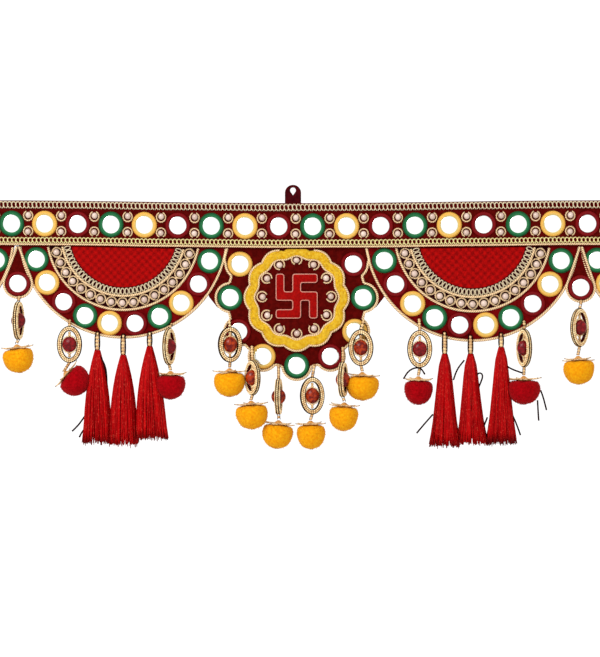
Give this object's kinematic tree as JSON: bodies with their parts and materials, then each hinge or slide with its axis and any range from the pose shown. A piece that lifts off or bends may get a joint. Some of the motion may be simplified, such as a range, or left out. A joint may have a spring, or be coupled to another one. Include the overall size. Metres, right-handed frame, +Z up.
{
  "type": "toran door hanging",
  "caption": "Embroidered, mirrored door valance: a flat band with half-round scallops, a lobed centre panel, bead medals with plush balls, and tassels.",
  "frame": {"origin": "middle of the heading band's top edge, halfway through its thickness", "axes": "+X along the band to the right as seen from the front, +Y towards the wall behind it, +Z up; the front faces -Y"},
  "size_m": [1.0154, 0.039, 0.2677],
  "materials": {
    "velvet": "dark maroon velvet over a stiff interlining",
    "ribbon": "matt woven maroon ribbon",
    "brocade": "red brocade with a small diamond weave",
    "plush_yellow": "short golden yellow plush",
    "plush_gold": "dense golden plush",
    "plush_red": "dense red plush",
    "silk_red": "glossy red silk thread",
    "gold_bead": "gold lustre beads and petals",
    "zari": "twisted gold metallic thread",
    "mirror": "small round sewn mirrors",
    "thread_green": "glossy wound green thread",
    "thread_yellow": "glossy wound golden yellow thread",
    "thread_red": "glossy wound red thread",
    "pearl": "pinkish beige pearl beads",
    "bead_orange": "orange red glass-like beads",
    "bead_crimson": "crimson glass-like beads",
    "satin_red": "red satin stitch",
    "lining": "plain dark lining cloth"
  },
  "bodies": {
    "root": {"band": "velvet", "loop_left": "ribbon", "loop_centre": "ribbon", "loop_right": "ribbon", "centre_panel": "velvet", "medallion": "plush_yellow", "drop_left": "velvet", "drop_right": "velvet", "scallop_left_outer": "velvet", "fan_left_outer": "brocade", "scallop_left_inner": "velvet", "fan_left_inner": "brocade", "scallop_right_inner": "velvet", "fan_right_inner": "brocade", "scallop_right_outer": "velvet", "fan_right_outer": "brocade", "medal_01": "gold_bead", "pompom_01": "plush_gold", "medal_02": "gold_bead", "pompom_02": "plush_gold", "medal_03": "gold_bead", "pompom_03": "plush_gold", "medal_04": "gold_bead", "pompom_04": "plush_gold", "medal_05": "gold_bead", "pompom_05": "plush_gold", "medal_06": "gold_bead", "pompom_06": "plush_gold", "medal_07": "gold_bead", "pompom_07": "plush_gold", "medal_08": "gold_bead", "pompom_08": "plush_gold", "medal_09": "gold_bead", "pompom_09": "plush_red", "medal_10": "gold_bead", "pompom_10": "plush_red", "medal_11": "gold_bead", "pompom_11": "plush_red", "medal_12": "gold_bead", "pompom_12": "plush_red", "medal_13": "gold_bead", "pompom_13": "plush_red", "medal_14": "gold_bead", "pompom_14": "plush_red", "medal_15": "gold_bead", "pompom_15": "plush_red", "medal_16": "gold_bead", "pompom_16": "plush_red", "tassel_01": "silk_red", "tassel_02": "silk_red", "tassel_03": "silk_red", "tassel_04": "silk_red", "tassel_05": "silk_red", "tassel_06": "silk_red", "tassel_07": "silk_red", "tassel_08": "silk_red", "tassel_09": "silk_red", "tassel_10": "silk_red", "tassel_11": "silk_red", "tassel_12": "silk_red"}
  },
  "joints": []
}
